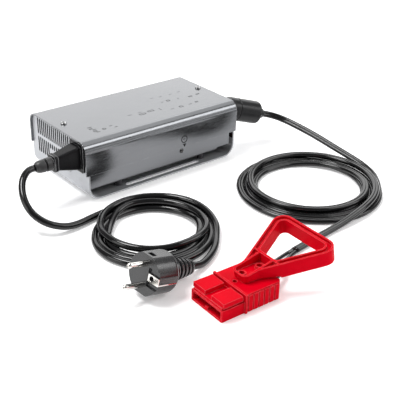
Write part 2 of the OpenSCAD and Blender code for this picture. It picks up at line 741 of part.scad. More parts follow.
// The battery connector's own frame: X from its mouth to its rear
module conn_frame() translate(mouth_at) rotate([0, 0, mouth_turn]) children();
mouth_h = conn_h - block_h;
mouth_wall = 1.8;
cavity_d = 20;
barrel_d = 6.4;
tongue_t = 1.6;
contact_w = 8;
plate_l = 2;
module connector_housing() color(red) conn_frame() difference() {
    union() {
        // Mating part: hood, recessed seam and two raised blocks
        translate([0, -mate_w / 2, 0]) cube([mate_l, mate_w, mouth_h - seam_h]);
        translate([0.8, -mate_w / 2 + 1.8, mouth_h - seam_h - tiny])
            cube([mate_l - 0.8, mate_w - 3.6, seam_h + tiny]);
        for (side = [-1, 1]) mirror([0, side < 0 ? 1 : 0, 0])
            translate([1.6, block_gap / 2, mouth_h - tiny])
                cube([mate_l - 3.6, (mate_w - block_gap) / 2, block_h + tiny]);
        // Collar plate, a groove behind it and the ribbed grip part
        translate([mate_l, -mate_w / 2 - 1.7, 0])
            cube([plate_l, mate_w + 3.4, conn_h + 0.7]);
        translate([mate_l + plate_l - tiny, 0, 0]) linear_extrude(conn_h)
            polygon(rounded_outline([
                [0, -mate_w / 2, 0], [conn_l - mate_l - plate_l, -mate_w / 2, 3],
                [conn_l - mate_l - plate_l, mate_w / 2, 3], [0, mate_w / 2, 0]]));
        rib_pitch = (grip_l - 5) / grip_ribs;
        for (i = [0:grip_ribs - 1], side = [-1, 1])
            translate([mate_l + collar_l + i * rib_pitch, side * mate_w / 2, 0.6])
                linear_extrude(conn_h - 1.8) polygon([
                    [0, -1.2], [rib_pitch - 1.2, -1.2],
                    [rib_pitch - 1.2, 1.2], [0, 1.2]]);
    }
    // Mouth with a rib on its floor, and room for the two contacts
    difference() {
        translate([-1, -mate_w / 2 + mouth_wall, mouth_wall])
            cube([cavity_d + 1, mate_w - 2 * mouth_wall,
                  mouth_h - seam_h - 2 * mouth_wall + 0.4]);
        translate([0, -1.75, 0]) cube([3, 3.5, mouth_wall + 2.5]);
    }
    for (side = [-1, 1]) translate([0, side * pole_gap / 2, pole_z]) {
        translate([cavity_d - 1, -contact_w / 2, -3.4])
            cube([16, contact_w, tongue_t]);
        translate([cavity_d + 14, 0, 0]) rotate([0, 90, 0])
            cylinder(d = barrel_d, h = 60, $fn = fine);
    }
    for (x = handle_screws_at) translate([x, 0, 4])
        cylinder(d = screw_d, h = 20, $fn = fine);
    translate([handle_from - 2, 1, conn_h - 3]) cylinder(d = 4, h = 5, $fn = fine);
}
// Contacts: a flat tongue in the mouth and a round barrel for the core
module connector_contacts() color(metal) conn_frame()
    for (side = [-1, 1]) translate([0, side * pole_gap / 2, pole_z]) difference() {
        union() {
            translate([5, -contact_w / 2, -3.4])
                cube([cavity_d + 10, contact_w, tongue_t]);
            translate([cavity_d + 14, 0, 0]) rotate([0, 90, 0])
                cylinder(d = barrel_d, h = conn_l - cavity_d - 18, $fn = fine);
        }
        translate([conn_l - 8, 0, 0]) rotate([0, 90, 0])
            cylinder(d = core_d, h = 20, $fn = fine);
    }

// Plan of the handle, from the front of its tongue: parallel sides, then a flare
flare_from = 14;
flare = (handle_w - tongue_w - 1.2) / 2 / (handle_l - flare_from);
slant = sqrt(1 + flare * flare);
handle_band = 2 * handle_rim + channel_w;
function handle_edge(u) = tongue_w / 2 + 0.6 + flare * (u - flare_from);
function mirrored(half) = concat(half,
    [for (i = [len(half) - 1:-1:0]) [half[i][0], -half[i][1], half[i][2]]]);
function handle_plan(grow, r_front, r_far) = rounded_outline(mirrored([
    [-grow, -tongue_w / 2 - grow, r_front],
    [flare_from, -tongue_w / 2 - 0.6 - grow * 1.05, 9],
    [handle_l + grow, -handle_edge(handle_l + grow) - grow * slant, r_far]]), 6);
loop_from = 32;
loop_to = handle_l - handle_band;
function loop_side(u, grow) = -handle_edge(u) + (handle_band - grow) * slant;
function loop_plan(grow) = rounded_outline(mirrored([
    [loop_from - grow, loop_side(loop_from - grow, grow), 4 + grow / 2],
    [loop_to + grow, loop_side(loop_to + grow, grow), 5 + grow]]), 6);
tray_side = tongue_w / 2 - handle_rim;
tray_back = loop_from - handle_rim - 1.2;
pocket_from = flare_from + (handle_rim * slant - 0.4) / flare;
module handle_frame() conn_frame()
    translate([handle_from, 0, handle_rim_z]) rotate([0, -handle_rise, 0]) children();
module pull_handle() color(red) difference() {
    union() {
        difference() {
            handle_frame() difference() {
                translate([0, 0, -handle_t]) linear_extrude(handle_t)
                    polygon(handle_plan(0, 5, 10));
                translate([0, 0, -handle_t - 20]) linear_extrude(60)
                    polygon(loop_plan(0));
                translate([0, 0, -handle_channel]) linear_extrude(20) {
                    // Channel between the outer and inner rims of the loop
                    difference() {
                        polygon(handle_plan(-handle_rim, 3.5, 8.5));
                        polygon(loop_plan(handle_rim));
                        translate([-10, -60]) square([loop_from + 9.5, 120]);
                    }
                    // Pocket on each side of the tray
                    for (side = [0, 1]) mirror([0, side, 0]) polygon([
                        [pocket_from, tongue_w / 2 + 0.2],
                        [loop_from - 2, tongue_w / 2 + 0.2],
                        [loop_from - 2, handle_edge(loop_from - 2) - handle_rim * slant]]);
                }
            }
            // Tray of the tongue, level with the connector's top
            conn_frame() translate([handle_from, 0, handle_floor_z])
                linear_extrude(40) polygon(rounded_outline(mirrored([
                    [handle_rim, -tray_side, 3.5], [tray_back, -tray_side, 0.6]]), 5));
            // Underside level with the connector's top, with a seat inside its edge
            conn_frame() translate([handle_from - 10, -60, conn_h + handle_seat - 30])
                cube([conn_l - handle_from + 13, 120, 30]);
        }
        conn_frame() translate([handle_from, 0, conn_h]) linear_extrude(handle_seat + 0.5)
            intersection() {
                polygon(handle_plan(-1.4, 3.5, 8));
                translate([-5, -40]) square([conn_l - handle_from + 4, 80]);
            }
        conn_frame() for (x = handle_screws_at) translate([x, 0, handle_floor_z - 1])
            cylinder(d = 7.6, h = 3.2, $fn = fine);
    }
    conn_frame() for (x = handle_screws_at) translate([x, 0, 0]) {
        cylinder(d = screw_d, h = 60, $fn = fine);
        translate([0, 0, handle_head_z]) cylinder(d = sunk_head_d + 0.6, h = 40, $fn = fine);
    }
}
sunk_head_d = 4.6;
handle_head_z = conn_h + 1.8;
module handle_screws() color(metal) conn_frame()
    for (x = handle_screws_at) translate([x, 0, handle_head_z])
        crossed_screw(handle_head_z - 4.2, sunk_head_d);

// Front panel light
light_x = 22;
light_z = skirt_z - 4.7;
light_d = 5;
module status_light() color("#3a1512") {
    translate([light_x, -tray_half, light_z]) rotate([-90, 0, 0])
        rotate_extrude($fn = fine) polygon([
            [0, -1.2], [1.4, -0.9], [2.2, -0.2], [light_d / 2, 0.8],
            [light_d / 2, 6], [0, 6]]);
    for (side = [-1, 1]) translate([light_x + side * 1.27, -tray_half + 6, light_z]) {
        translate([-0.3, -0.5, -0.3]) cube([0.6, 6.5, 0.6]);
        translate([-0.3, 5.4, board_z + board_t - light_z])
            cube([0.6, 0.6, light_z - board_z - board_t + 0.3]);
    }
}

// Circuit board and what stands on it
board_t = 1.6;
board_z = tray_floor + standoff_h;
board_top = board_z + board_t;
board_x = -2;
board_w = case_w - 2 * board_in;
board_holes = [for (sx = [-1, 1], sy = [-1, 1])
    [board_x + sx * (board_l / 2 - 6), sy * (board_w / 2 - 4)]];
module circuit_board() color("#2f6b45") difference() {
    translate([board_x - board_l / 2, -board_w / 2, board_z])
        cube([board_l, board_w, board_t]);
    for (p = board_holes) translate([p.x, p.y, board_z - 1])
        cylinder(d = screw_d, h = 4, $fn = fine);
}
module board_standoffs() color(metal) for (p = board_holes)
    translate([p.x, p.y, tray_floor]) difference() {
        cylinder(d = 6, h = standoff_h, $fn = fine);
        translate([0, 0, -1]) cylinder(d = screw_d, h = standoff_h + 2, $fn = fine);
    }
module board_screws() color(metal) for (p = board_holes)
    translate([p.x, p.y, board_top]) crossed_screw(board_t + standoff_h + sheet);
core_at = [14, 8];
core_l = 40;
core_w = 13;
core_h = 32;
module transformer_core() color("#3b3b3f") translate([core_at.x, core_at.y, board_top])
    difference() {
        translate([-core_l / 2, -core_w / 2, 0]) cube([core_l, core_w, core_h]);
        for (side = [-1, 1]) translate([side * 11.5 - 4.5, -core_w, 5])
            cube([9, 2 * core_w, core_h - 10]);
    }
module transformer_winding() color("#d9a441")
    translate([core_at.x, core_at.y, board_top + 5]) difference() {
        translate([-15.6, -15, 0]) linear_extrude(core_h - 10)
            polygon([for (q = round_rect(31.2, 30, 5)) [q.x + 15.6, q.y + 15]]);
        translate([-7, -core_w / 2, -1]) cube([14, core_w, core_h]);
        for (side = [-1, 1]) translate([side * 18.2 - 2.2, -core_w / 2, -1])
            cube([4.4, core_w, core_h]);
    }
module line_choke() color("#b5651d") translate([-28, 9, board_top])
    rotate_extrude($fn = fine) polygon([
        [5, 1.5], [6.5, 0], [12.5, 0], [14, 1.5], [14, 10.5], [12.5, 12],
        [6.5, 12], [5, 10.5]]);
cap_d = 22;
cap_at = [[-56, -12], [-56, 14], [56, 9]];
module smoothing_capacitors() color("#20242c") for (p = cap_at)
    translate([p.x, p.y, board_top]) rotate_extrude($fn = fine) polygon([
        [0, 0], [cap_d / 2, 0], [cap_d / 2, 2], [cap_d / 2 - 0.8, 2.8],
        [cap_d / 2, 3.6], [cap_d / 2, 24.5], [cap_d / 2 - 1, 25.5], [0, 25.5]]);
sink_l = 96;
sink_y = board_w / 2 - 9;
sink_h = 30;
module heat_sink() color("#b9bcc2") translate([12, sink_y, board_top]) {
    translate([-sink_l / 2, -2, 0]) cube([sink_l, 3, sink_h]);
    for (i = [0:10]) translate([-sink_l / 2 + i * 9.4, 1 - tiny, 4])
        cube([2, 6, sink_h - 4]);
}
module power_transistors() color("#161616") for (i = [0:3])
    translate([12 - 36 + i * 24, sink_y - 2 - 4.6, board_top + 6]) {
        cube([15, 4.6, 16]);
        for (k = [0:2]) translate([2.2 + k * 5, 2, -6]) cube([1, 0.8, 6]);
    }
module relay() color("#2b5aa0") translate([-22, -34, board_top]) cube([19, 15, 15]);
module output_terminals() color("#2d2d30") translate([60, -30, board_top]) difference() {
    cube([10, 22, 13]);
    for (y = [5.5, 16.5]) {
        translate([5, y, 6]) cylinder(d = 4, h = 10, $fn = fine);
        translate([5.5, y, 4]) rotate([0, 90, 0]) cylinder(d = 3.4, h = 8, $fn = fine);
    }
}
inlet_wire_starts = [for (p = blade_at)
    [flange_x + flange_t + inlet_depth + 4, inlet_y + p.x, inlet_z + p.y]];
module inlet_wires() color("#7a4a2a") for (i = [0:2]) {
    p = inlet_wire_starts[i];
    out = [13, 6, 9.5][i];
    to_y = inlet_y + [12, 8.5, 5][i];
    swept_tube([p, p + [2.5, 0, 0], [p.x + out - 2, (p.y + to_y) / 2, p.z - 1],
        [p.x + out, to_y, p.z - 4], [p.x + out, to_y, board_top + 4],
        [p.x + out, to_y + 0.01, board_top]], 2.4, 2.4, 8);
}
module output_wires() color("#8c1f1f") for (i = [0, 1]) {
    y = [-24.5, -13.5][i];
    end_y = bush_y + [-2.4, 2.4][i];
    swept_tube([[65.5, y, board_top + 4], [73, y, board_top + 4],
        [79, y - 2, board_top + 9], [83.5, (y + end_y) / 2, board_top + 16],
        [plate_x - 6, end_y, bush_z - 2.5], [plate_x - 2, end_y, bush_z],
        [plate_x, end_y, bush_z]], 3, 3, 8);
}

base_bracket();
chassis_tray();
top_cover();
cover_screws();
end_screws();
tray_spacers();
tray_screws();
inlet_socket();
inlet_blades();
mains_connector();
mains_lead_first();
mains_coil();
mains_lead_last();
plug_body();
plug_pins();
plug_earth_strip();
outlet_bush();
outlet_sleeve();
battery_lead_first();
battery_coil();
battery_lead_last();
core_rear();
core_front();
connector_housing();
connector_contacts();
pull_handle();
handle_screws();
status_light();
circuit_board();
board_standoffs();
board_screws();
transformer_core();
transformer_winding();
line_choke();
smoothing_capacitors();
heat_sink();
power_transistors();
relay();
output_terminals();
inlet_wires();
output_wires();
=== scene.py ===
import bpy
import math
from mathutils import Matrix, Vector


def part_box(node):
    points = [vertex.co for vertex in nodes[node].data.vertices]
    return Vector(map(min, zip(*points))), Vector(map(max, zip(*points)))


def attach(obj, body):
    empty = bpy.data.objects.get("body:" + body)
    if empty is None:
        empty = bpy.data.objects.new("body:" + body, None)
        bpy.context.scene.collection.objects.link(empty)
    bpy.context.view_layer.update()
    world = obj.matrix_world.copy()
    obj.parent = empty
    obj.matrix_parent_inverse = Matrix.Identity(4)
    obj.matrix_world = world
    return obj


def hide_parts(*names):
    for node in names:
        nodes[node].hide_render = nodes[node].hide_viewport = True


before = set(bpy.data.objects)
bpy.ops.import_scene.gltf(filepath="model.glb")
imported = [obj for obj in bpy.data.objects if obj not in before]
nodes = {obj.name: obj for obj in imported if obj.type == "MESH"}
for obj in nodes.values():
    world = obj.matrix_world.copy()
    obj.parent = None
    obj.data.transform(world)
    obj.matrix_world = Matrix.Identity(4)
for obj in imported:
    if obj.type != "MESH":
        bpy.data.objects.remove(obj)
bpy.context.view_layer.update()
scene = bpy.context.scene
mm = 0.001


# camera at the photograph's place
cameraSettings = {
    "focalPx": 812.65,
    "framePx": 400,
    "sensor": 36.0,
    "right": (0.77359, -0.63329, 0.02240),
    "down": (-0.28282, -0.37668, -0.88211),
    "forward": (0.56707, 0.67606, -0.47050),
    "place": (-469.08, -671.45, 385.29),
}


def makeCamera(s):
    data = bpy.data.cameras.new("photoCamera")
    cam = bpy.data.objects.new("photoCamera", data)
    scene.collection.objects.link(cam)
    turn = Matrix((
        [s["right"][i] for i in range(3)],
        [-s["down"][i] for i in range(3)],
        [-s["forward"][i] for i in range(3)],
    )).transposed()
    cam.matrix_world = Matrix.Translation(Vector(s["place"]) * mm) @ turn.to_4x4()
    data.sensor_width = s["sensor"]
    data.lens = s["focalPx"] / s["framePx"] * s["sensor"]
    data.clip_start, data.clip_end = 0.01, 20.0
    scene.camera = cam


makeCamera(cameraSettings)
print("camera made")


# visible piece from points in millimetres, the first of its faces smooth
def meshPiece(name, verts, faces, smoothFaces=0):
    mesh = bpy.data.meshes.new(name)
    mesh.from_pydata([tuple(Vector(v) * mm) for v in verts], [], faces)
    for f in mesh.polygons:
        f.use_smooth = f.index < smoothFaces
    piece = bpy.data.objects.new(name, mesh)
    scene.collection.objects.link(piece)
    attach(piece, "root")
    return piece


# points of a lead, from knots of its turns and its free routes
def blend(t, a, slopeA, b, slopeB):
    # cubic from a to b, its slopes given for the whole span
    return ((2 * t ** 3 - 3 * t ** 2 + 1) * a + (t ** 3 - 2 * t ** 2 + t) * slopeA
            + (3 * t ** 2 - 2 * t ** 3) * b + (t ** 3 - t ** 2) * slopeB)


def smoothValue(knots, column, at):
    final = len(knots) - 1
    i = next((k for k in range(final) if at <= knots[k + 1][0]), final - 1)
    a, b = knots[i], knots[i + 1]
    before, after = knots[max(i - 1, 0)], knots[min(i + 2, final)]
    span = b[0] - a[0]
    slopeA = span * (b[column] - before[column]) / (b[0] - before[0])
    slopeB = span * (after[column] - a[column]) / (after[0] - a[0])
    return blend((at - a[0]) / span, a[column], slopeA, b[column], slopeB)


# directions on the floor that the turns' angles start from
coilAxes = {"left": (-0.774, 0.633, 0.0), "back": (0.6427, 0.7662, 0.0)}


def turnPoints(s):
    # the knots give angle, reach from the centre and height
    left, back = Vector(coilAxes["left"]), Vector(coilAxes["back"])
    centre, knots = Vector(s["centre"]).to_3d(), s["turns"]
    start, sweepAngle = knots[0][0], knots[-1][0] - knots[0][0]
    count = round(sweepAngle / s["turnStep"])
    points = []
    for i in range(count + 1):
        angle = start + sweepAngle * i / count
        a = math.radians(angle)
        spot = centre + smoothValue(knots, 1, angle) * (left * math.cos(a) + back * math.sin(a))
        points.append((spot.x, spot.y, max(smoothValue(knots, 2, angle), s["lowest"])))
    return points


def evenPath(points, step, fineSteps=12):
    # smooth curve through the points, sampled at even steps
    pts = [Vector(p) for p in points]
    dense = []
    for i in range(len(pts) - 1):
        a, b = pts[i], pts[i + 1]
        before = pts[i - 1] if i else a * 2 - b
        after = pts[i + 2] if i + 2 < len(pts) else b * 2 - a
        la, lm, lb = ((a - before).length ** 0.5, (b - a).length ** 0.5,
                      (after - b).length ** 0.5)
        slopeA = ((a - before) / la - (b - before) / (la + lm) + (b - a) / lm) * lm
        slopeB = ((b - a) / lm - (after - a) / (lm + lb) + (after - b) / lb) * lm
        dense += [blend(k / fineSteps, a, slopeA, b, slopeB) for k in range(fineSteps)]
    dense.append(pts[-1])
    total = sum((dense[i + 1] - dense[i]).length for i in range(len(dense) - 1))
    count = max(2, round(total / step))
    out, gone, i = [dense[0]], 0.0, 0
    for k in range(1, count):
        want = total * k / count
        while gone + (dense[i + 1] - dense[i]).length < want:
            gone += (dense[i + 1] - dense[i]).length
            i += 1
        part = (want - gone) / (dense[i + 1] - dense[i]).length
        out.append(dense[i].lerp(dense[i + 1], part))
    out.append(dense[-1])
    return out, total


def sweep(name, path, profile, twist=None):
    # closed mesh tube of one profile along a path, its wide side level
    verts, faces, last = [], [], len(path) - 1
    n = len(profile)
    for i, p in enumerate(path):
        along = (path[min(i + 1, last)] - path[max(i - 1, 0)]).normalized()
        across = Vector((0, 0, 1)).cross(along).normalized()
        up = along.cross(across)
        turn = math.radians(twist(i / last)) if twist else 0.0
        c, d = math.cos(turn), math.sin(turn)
        for u, v in profile:
            verts.append(p + across * (u * c - v * d) + up * (u * d + v * c))
    for i in range(last):
        for k in range(n):
            a, b = i * n + k, i * n + (k + 1) % n
            faces.append((a, b, b + n, a + n))
    faces.append(tuple(range(n - 1, -1, -1)))
    faces.append(tuple(last * n + k for k in range(n)))
    return meshPiece(name, verts, faces, last * n)


def roundProfile(diameter, sides):
    turns = [2 * math.pi * k / sides for k in range(sides)]
    return [(diameter / 2 * math.cos(a), diameter / 2 * math.sin(a)) for a in turns]


mainsLead = {
    "diameter": 6.7,
    "sides": 18,
    "pathStep": 4.0,
    "turnStep": 20,
    "lowest": 3.42,
    "centre": (-78.8, -142.9),
    "first": [
        (-143, -37.35, 44.4), (-149, -37.35, 44.4), (-155.5, -41, 43.2), (-161.5, -46, 40),
        (-166, -52.5, 35.5), (-169, -60, 30.5), (-170, -67.5, 25.5), (-169, -75, 20.5),
        (-165.5, -81.5, 16), (-160, -87, 12), (-152, -91, 8.5), (-142, -92.4, 5.5),
        (-130, -91.5, 4), (-118, -89, 3.4),
    ],
    "turns": [
        (28, 61, 3.4), (45, 57, 3.4), (90, 54, 3.4), (180, 51.5, 3.4), (225, 57.5, 3.4),
        (270, 62.5, 3.4), (315, 61.8, 3.4), (340, 57.6, 3.4), (360, 54.2, 3.4),
        (395, 50.3, 3.4), (450, 47.6, 3.4), (495, 47, 3.4), (540, 45.4, 3.4),
        (585, 51.2, 3.4), (630, 56, 3.4), (675, 56.8, 3.4), (720, 49, 3.4),
        (765, 43.5, 3.4), (810, 41.2, 3.4), (855, 40.6, 4.6), (900, 41.3, 7.6),
        (945, 45, 3.6), (990, 49.5, 3.4), (1035, 50, 3.4), (1080, 42.7, 3.4),
        (1125, 46.4, 8.8), (1170, 44.6, 9.3), (1215, 44.4, 9.6), (1260, 47.3, 9.4),
        (1305, 43.8, 9.4), (1350, 42.5, 7.8), (1395, 46.5, 8.4), (1440, 51.6, 9.2),
        (1485, 54, 9.8), (1530, 54, 10.1), (1575, 54.3, 10.1), (1605, 55.8, 7.4),
        (1620, 57, 5.4), (1633, 58, 4),
    ],
    "last": [
        (-54.5, -200, 3.5), (-65, -207.6, 3.5), (-75, -212.8, 3.6), (-84.5, -216.4, 4.6),
        (-94.17, -218.04, 7.4), (-98.98, -218.33, 8.73),
    ],
}


def makeMainsLead(s):
    path, total = evenPath(s["first"] + turnPoints(s) + s["last"], s["pathStep"])
    lead = sweep("mainsLead", path, roundProfile(s["diameter"], s["sides"]))
    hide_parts("mains_lead_first", "mains_coil", "mains_lead_last")
    print("mains lead", round(total), "mm")


makeMainsLead(mainsLead)


def twinProfile(wide, thick, steps, webAngle=148):
    # outline of two round cores joined by a web
    r = thick / 2
    apart = wide / 2 - r
    half = []
    for k in range(steps + 1):
        a = math.radians(webAngle * (2 * k / steps - 1))
        half.append((apart + r * math.cos(a), r * math.sin(a)))
    return half + [(-u, -v) for u, v in half]


batteryLead = {
    "wide": 7.6,
    "thick": 4.9,
    "roundSteps": 7,
    "twist": 60,
    "untwisted": 0.1,
    "pathStep": 4.0,
    "turnStep": 20,
    "lowest": 2.5,
    "centre": (100.2, -167.1),
    "first": [
        (143.85, -44.37, 34.55), (151.33, -45.96, 32.21), (159.5, -52.5, 29.8), (165.5, -64, 27.2),
        (169, -79, 24.6), (171.6, -96, 21.9), (173.6, -112, 19), (175.4, -128, 15.8),
        (177.2, -145, 12.5), (178.6, -160, 9.8), (178.4, -174, 7.4), (175.2, -188, 5.2),
        (168, -200, 3.6),
    ],
    "turns": [
        (178, 72.6, 2.8), (225, 72, 2.6), (270, 71.5, 2.6), (315, 71.5, 2.6),
        (360, 71, 2.6), (450, 70.5, 2.6), (500, 67, 2.6), (540, 64.5, 2.6),
        (630, 63.8, 2.6), (720, 63.5, 2.6), (810, 63, 2.6), (860, 59.5, 2.6),
        (900, 57, 2.6), (990, 56, 2.6), (1080, 56, 2.6), (1150, 55.8, 2.6),
        (1200, 56.5, 5), (1260, 58.5, 7.8), (1350, 57.5, 7.8), (1440, 60, 7.9),
        (1530, 68.5, 8.4), (1590, 69.5, 8.6), (1640, 68.5, 8.6), (1665, 70.8, 8.4),
    ],
    "last": [
        (90, -240, 6.9), (78, -241, 5.2), (67, -241.6, 3.9), (54, -242.2, 3), (41, -243, 2.6),
        (28, -244.2, 2.6), (14, -245.7, 2.6), (-1, -247.4, 2.6),
    ],
}


def makeBatteryLead(s):
    path, total = evenPath(s["first"] + turnPoints(s) + s["last"], s["pathStep"])
    lead = sweep("batteryLead", path, twinProfile(s["wide"], s["thick"], s["roundSteps"]),
                 lambda part: s["twist"] * max(0, 1 - part / s["untwisted"]))
    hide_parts("battery_lead_first", "battery_coil", "battery_lead_last")
    print("battery lead", round(total), "mm")


makeBatteryLead(batteryLead)


# trim: ribs over both reliefs, pads over the earth strip's legs, the sleeve's nose;
# each outline gives reach and radius
plugTrim = {
    "place": (-149, -221.3, 22.6275),
    "up": (0.26677, 0.01585, 0.96363),
    "side": (-0.05931, 0.99824, 0.0),
    "out": (-0.96193, -0.05715, 0.26724),
    "outline": [
        (-30.4, 10.9), (-32, 10.3), (-32.5, 8.2), (-34.3, 8.2), (-34.8, 10), (-37.2, 9.5),
        (-37.7, 7.4), (-39.5, 7.4), (-40, 9.1), (-42.4, 8.6), (-42.9, 6.7), (-44.7, 6.7),
        (-45.2, 8.2), (-47.6, 7.7), (-48.1, 6), (-49.5, 6), (-50, 7.2), (-52.2, 6.6),
        (-53, 5.4), (-53, 3.2),
    ],
    "legs": {"radius": (17.9, 18.6), "angles": (-6.5, 12), "reach": (-21.2, -1.4)},
}
inletTrim = {
    "place": (-121.4, -37.35, 44.4),
    "out": (-1, 0, 0),
    "up": (0, 0, 1),
    "outline": [
        (-0.5, 6.9), (3.2, 6.8), (3.3, 4.9), (5.3, 4.9), (5.4, 6.8), (10.2, 6.6), (10.3, 4.8),
        (12.3, 4.8), (12.4, 6.5), (17.4, 6.1), (19.6, 5.5), (21.2, 4.4), (21.4, 3.2),
    ],
}
noseTrim = {
    "place": (143.85, -44.37, 34.55),
    "out": (0.935, -0.199, -0.2925),
    "up": (0.286, -0.061, 0.956),
    "outline": [(-6, 6.9), (-1.2, 6.5), (0.6, 6), (2, 5.2), (2.6, 4.2), (2.6, 2)],
}


def lathe(name, s, steps=48, sharpAngle=28):
    # turned shape about the out axis, open at its hidden ends
    place, out, up = Vector(s["place"]), Vector(s["out"]).normalized(), Vector(s["up"]).normalized()
    side = out.cross(up)
    verts, faces = [], []
    for along, r in s["outline"]:
        for k in range(steps):
            a = 2 * math.pi * k / steps
            verts.append(place + out * along + (up * math.cos(a) + side * math.sin(a)) * r)
    for i in range(len(s["outline"]) - 1):
        for k in range(steps):
            a, b = i * steps + k, i * steps + (k + 1) % steps
            faces.append((b, a, a + steps, b + steps))
    piece = meshPiece(name, verts, faces)
    piece.data.shade_smooth()
    piece.data.set_sharp_from_angle(angle=math.radians(sharpAngle))


def legPad(name, s, sign, steps=10):
    # curved pad over one leg, with its rim
    place, up, side, out = (Vector(s[k]) for k in ("place", "up", "side", "out"))
    low, high = s["legs"]["angles"]
    verts = []
    for r in s["legs"]["radius"]:
        for reach in s["legs"]["reach"]:
            for k in range(steps + 1):
                a = math.radians(low + (high - low) * k / steps)
                verts.append(place + up * (r * math.sin(a)) + side * (sign * r * math.cos(a))
                             + out * reach)
    n = steps + 1
    faces = []
    for a, b in ((2 * n, 3 * n), (0, 2 * n), (n, 3 * n)):
        faces += [(a + k, a + k + 1, b + k + 1, b + k) for k in range(steps)]
    faces += [(0, n, 3 * n, 2 * n), (n - 1, 2 * n - 1, 4 * n - 1, 3 * n - 1)]
    meshPiece(name, verts, faces, steps)


lathe("plugRelief", plugTrim)
lathe("inletRelief", inletTrim)
legPad("legPadFront", plugTrim, -1)
legPad("legPadBack", plugTrim, 1)
lathe("sleeveNose", noseTrim)
print("trim made")


# shared effects
def newNode(tree, kind, **settings):
    node = tree.nodes.new(kind)
    for key, value in settings.items():
        setattr(node, key, value)
    return node


def multiply(tree, first, second):
    node = newNode(tree, "ShaderNodeMath", operation="MULTIPLY")
    tree.links.new(first, node.inputs[0])
    tree.links.new(second, node.inputs[1])
    return node.outputs["Value"]


def mapRange(tree, value, limits, **settings):
    node = newNode(tree, "ShaderNodeMapRange", **settings)
    for label, limit in limits.items():
        node.inputs[label].default_value = limit
    tree.links.new(value, node.inputs["Value"])
    return node.outputs["Result"]


def mixColours(tree, factor, first, second):
    # each colour is a socket or three numbers
    node = newNode(tree, "ShaderNodeMix", data_type="RGBA")
    mixFactor, mixFirst, mixSecond = node.inputs[0], node.inputs[6], node.inputs[7]
    tree.links.new(factor, mixFactor)
    for socket, colour in ((mixFirst, first), (mixSecond, second)):
        if isinstance(colour, tuple):
            socket.default_value = (*colour, 1)
        else:
            tree.links.new(colour, socket)
    return node.outputs[2]


def newGroup(name, inputs, outputs):
    group = bpy.data.node_groups.new(name, "ShaderNodeTree")
    for label, kind, value in inputs:
        group.interface.new_socket(label, in_out="INPUT", socket_type=kind).default_value = value
    for label, kind in outputs:
        group.interface.new_socket(label, in_out="OUTPUT", socket_type=kind)
    return group, newNode(group, "NodeGroupInput"), newNode(group, "NodeGroupOutput")


def makeEdgeGroup():
    # rounded normal along edges, and a patchy mask of them that carries edge wear and a painted
    # highlight
    group, given, result = newGroup(
        "edgeFinder", [("Radius", "NodeSocketFloat", 0.0004), ("WearAndHighlight", "NodeSocketFloat", 0.5)],
        [("Edge", "NodeSocketFloat"), ("Normal", "NodeSocketVector")])
    link = group.links.new
    bevel = newNode(group, "ShaderNodeBevel", samples=6)
    link(given.outputs["Radius"], bevel.inputs["Radius"])
    flat = newNode(group, "ShaderNodeNewGeometry")
    match = newNode(group, "ShaderNodeVectorMath", operation="DOT_PRODUCT")
    link(bevel.outputs["Normal"], match.inputs[0])
    link(flat.outputs["Normal"], match.inputs[1])
    rim = mapRange(group, match.outputs["Value"], {"From Min": 0.985, "From Max": 0.8})
    place = newNode(group, "ShaderNodeTexCoord")
    patch = newNode(group, "ShaderNodeTexNoise")
    patch.inputs["Scale"].default_value = 140
    link(place.outputs["Object"], patch.inputs["Vector"])
    patches = mapRange(group, patch.outputs["Fac"],
                       {"From Min": 0.35, "From Max": 0.65, "To Min": 0.45})
    mask = multiply(group, multiply(group, rim, patches), given.outputs["WearAndHighlight"])
    link(mask, result.inputs["Edge"])
    link(bevel.outputs["Normal"], result.inputs["Normal"])
    return group


def makeGrainGroup():
    # slow blotches and a fine grain that may run one way
    group, given, result = newGroup(
        "surfaceGrain",
        [("Coarse", "NodeSocketFloat", 40.0), ("Fine", "NodeSocketFloat", 1500.0),
         ("Stretch", "NodeSocketVector", (1.0, 1.0, 1.0))],
        [("Blotch", "NodeSocketFloat"), ("Grain", "NodeSocketFloat")])
    link = group.links.new
    place = newNode(group, "ShaderNodeTexCoord")
    coarse = newNode(group, "ShaderNodeTexNoise")
    coarse.inputs["Detail"].default_value = 3
    link(place.outputs["Object"], coarse.inputs["Vector"])
    link(given.outputs["Coarse"], coarse.inputs["Scale"])
    run = newNode(group, "ShaderNodeVectorMath", operation="MULTIPLY")
    link(place.outputs["Object"], run.inputs[0])
    link(given.outputs["Stretch"], run.inputs[1])
    fine = newNode(group, "ShaderNodeTexNoise")
    fine.inputs["Detail"].default_value = 2
    link(run.outputs["Vector"], fine.inputs["Vector"])
    link(given.outputs["Fine"], fine.inputs["Scale"])
    blotch = mapRange(group, coarse.outputs["Fac"], {"From Min": 0.32, "From Max": 0.68})
    link(blotch, result.inputs["Blotch"])
    link(fine.outputs["Fac"], result.inputs["Grain"])
    return group


